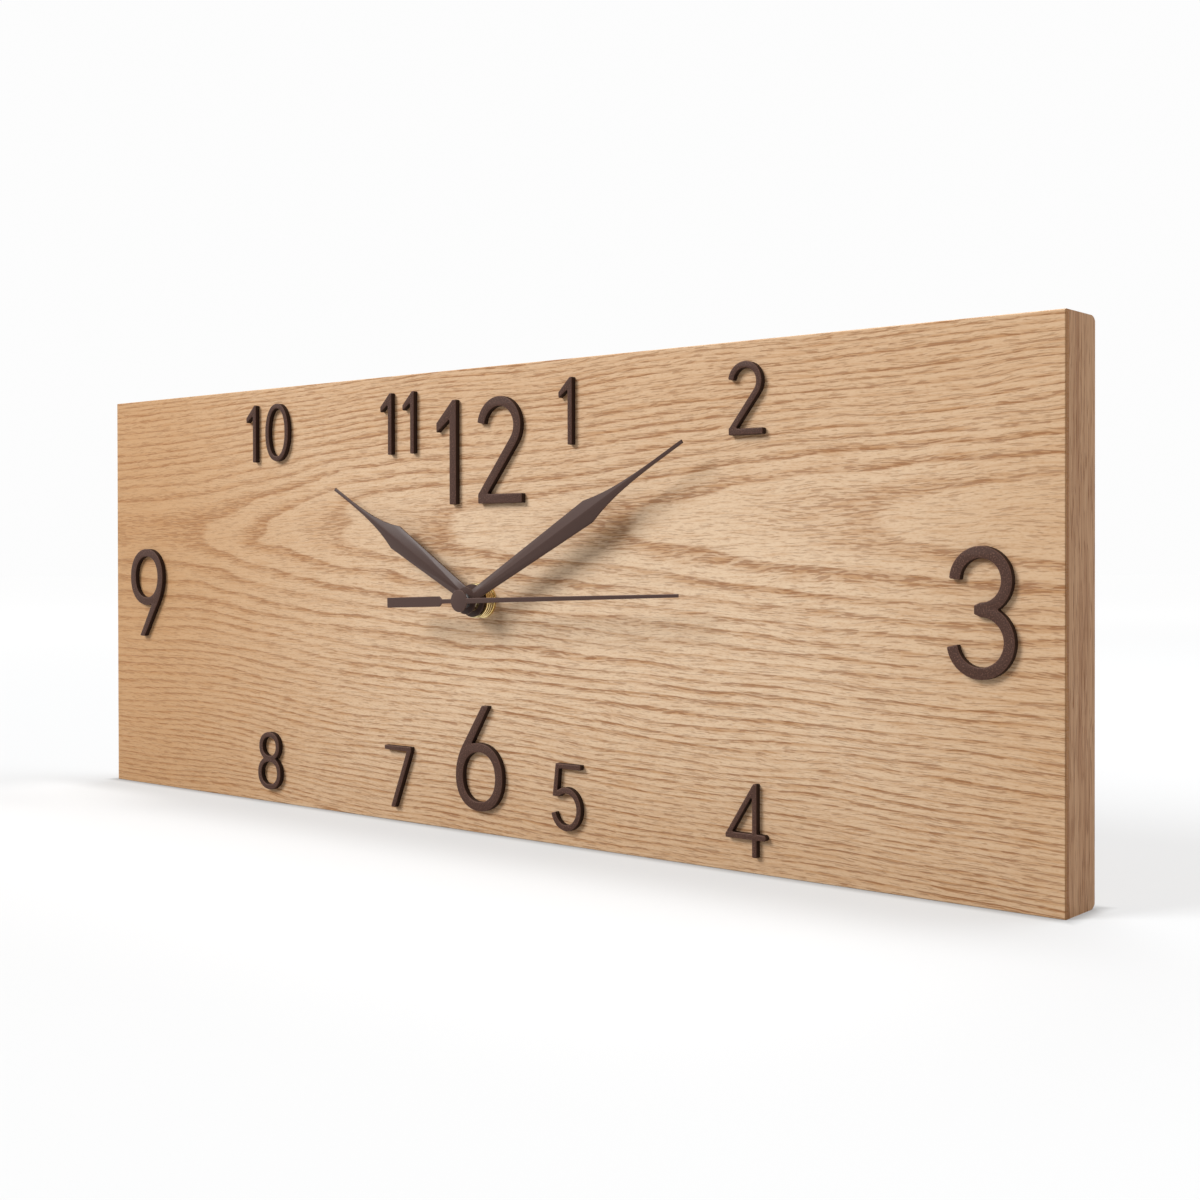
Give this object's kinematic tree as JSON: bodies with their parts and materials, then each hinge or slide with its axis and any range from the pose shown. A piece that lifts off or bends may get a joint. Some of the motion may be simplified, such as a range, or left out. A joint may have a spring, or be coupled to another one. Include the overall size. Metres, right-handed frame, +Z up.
{
  "type": "wall clock",
  "caption": "Wide oak plank wall clock with raised dark numerals, tapering hands on a brass-nut spindle, and a recessed quartz movement behind, hung from a keyhole plate.",
  "frame": {"origin": "middle of the keyhole's round entry in the hanger plate, on the wall plane", "axes": "+X to the right seen from the front, +Y into the wall, +Z up"},
  "size_m": [0.4, 0.0294, 0.15],
  "materials": {
    "oak_face": "clear matt lacquer on light oak with brown grain",
    "oak_lipping": "clear matt lacquer on straight-grained oak",
    "core_board": "raw fibreboard",
    "back_veneer": "plain oak veneer",
    "numeral_coat": "fine textured dark brown coat",
    "hand_coat": "satin dark brown coat",
    "brass": "turned",
    "steel": "bright",
    "zinc_plate": "zinc plated",
    "gasket_rubber": "matt",
    "case_plastic": "fine textured",
    "wheel_plastic": "moulded",
    "knob_plastic": "moulded",
    "magnet": "sintered",
    "stator_iron": "stamped",
    "copper": "enamelled wire",
    "circuit_board": "solder resist",
    "chip_resin": "cast",
    "crystal_can": "drawn",
    "cell_jacket": "plain jacket"
  },
  "bodies": {
    "clock_body": {"face_panel": "oak_face", "core_panel": "core_board", "back_veneer": "back_veneer", "lipping_top": "oak_lipping", "lipping_bottom": "oak_lipping", "lipping_left": "oak_lipping", "lipping_right": "oak_lipping", "numeral_1": "numeral_coat", "numeral_2": "numeral_coat", "numeral_3": "numeral_coat", "numeral_4": "numeral_coat", "numeral_5": "numeral_coat", "numeral_6": "numeral_coat", "numeral_7": "numeral_coat", "numeral_8": "numeral_coat", "numeral_9": "numeral_coat", "numeral_10": "numeral_coat", "numeral_11": "numeral_coat", "numeral_12": "numeral_coat", "fixing_nut": "brass", "fixing_washer": "brass", "threaded_bush": "brass", "case_gasket": "gasket_rubber", "movement_case": "case_plastic", "rear_cover": "case_plastic", "cover_screws": "steel", "stator": "stator_iron", "coil_bobbin": "wheel_plastic", "coil_winding": "copper", "circuit_board": "circuit_board", "control_chip": "chip_resin", "quartz_crystal": "crystal_can", "battery_cell": "cell_jacket", "positive_contact": "steel", "negative_contact": "steel", "hanger_plate": "zinc_plate", "hanger_screws": "zinc_plate"},
    "second_hand_body": {"second_hand": "hand_coat", "second_hand_tube": "steel", "second_arbor": "steel", "second_wheel": "wheel_plastic"},
    "minute_hand_body": {"minute_hand": "hand_coat", "minute_hand_bush": "steel", "cannon_pinion": "steel", "clutch_spring": "steel"},
    "hour_hand_body": {"hour_hand": "hand_coat", "hour_hand_bush": "brass", "hour_wheel": "wheel_plastic"},
    "intermediate_wheel_body": {"intermediate_wheel": "wheel_plastic"},
    "rotor_body": {"rotor_pinion": "wheel_plastic", "rotor_magnet": "magnet"},
    "third_wheel_body": {"third_wheel": "wheel_plastic"},
    "centre_wheel_body": {"centre_wheel": "wheel_plastic"},
    "minute_wheel_body": {"minute_wheel": "wheel_plastic"},
    "setting_knob_body": {"setting_shaft": "wheel_plastic", "setting_knob": "knob_plastic"}
  },
  "joints": [
    {"name": "second_hand_turn", "type": "hinge", "parent": "clock_body", "child": "second_hand_body", "pos_m": [0.0027, -0.01, -0.0519], "axis": [0, 1, 0], "continuous": true},
    {"name": "minute_hand_turn", "type": "hinge", "parent": "clock_body", "child": "minute_hand_body", "pos_m": [0.0027, -0.01, -0.0519], "axis": [0, 1, 0], "continuous": true},
    {"name": "hour_hand_turn", "type": "hinge", "parent": "clock_body", "child": "hour_hand_body", "pos_m": [0.0027, -0.01, -0.0519], "axis": [0, 1, 0], "continuous": true},
    {"name": "intermediate_wheel_turn", "type": "hinge", "parent": "clock_body", "child": "intermediate_wheel_body", "pos_m": [-0.00382, -0.01, -0.05494], "axis": [0, 1, 0], "continuous": true},
    {"name": "rotor_turn", "type": "hinge", "parent": "clock_body", "child": "rotor_body", "pos_m": [-0.01014, -0.01, -0.05264], "axis": [0, 1, 0], "continuous": true},
    {"name": "third_wheel_turn", "type": "hinge", "parent": "clock_body", "child": "third_wheel_body", "pos_m": [-0.0018, -0.01, -0.04654], "axis": [0, 1, 0], "continuous": true},
    {"name": "centre_wheel_turn", "type": "hinge", "parent": "clock_body", "child": "centre_wheel_body", "pos_m": [0.0027, -0.01, -0.0519], "axis": [0, 1, 0], "continuous": true},
    {"name": "minute_wheel_turn", "type": "hinge", "parent": "clock_body", "child": "minute_wheel_body", "pos_m": [0.0063, -0.01, -0.04566], "axis": [0, 1, 0], "continuous": true},
    {"name": "setting_knob_turn", "type": "hinge", "parent": "clock_body", "child": "setting_knob_body", "pos_m": [0.01139, -0.01, -0.04057], "axis": [0, 1, 0], "continuous": true}
  ],
  "couplings": [
    {"joint": "intermediate_wheel_turn", "follows": "second_hand_turn", "ratio": -5},
    {"joint": "rotor_turn", "follows": "second_hand_turn", "ratio": 30},
    {"joint": "third_wheel_turn", "follows": "second_hand_turn", "ratio": -0.13333},
    {"joint": "centre_wheel_turn", "follows": "second_hand_turn", "ratio": 0.016667},
    {"joint": "minute_wheel_turn", "follows": "minute_hand_turn", "ratio": -0.33333},
    {"joint": "hour_hand_turn", "follows": "minute_hand_turn", "ratio": 0.083333},
    {"joint": "setting_knob_turn", "follows": "minute_hand_turn", "ratio": 1}
  ]
}
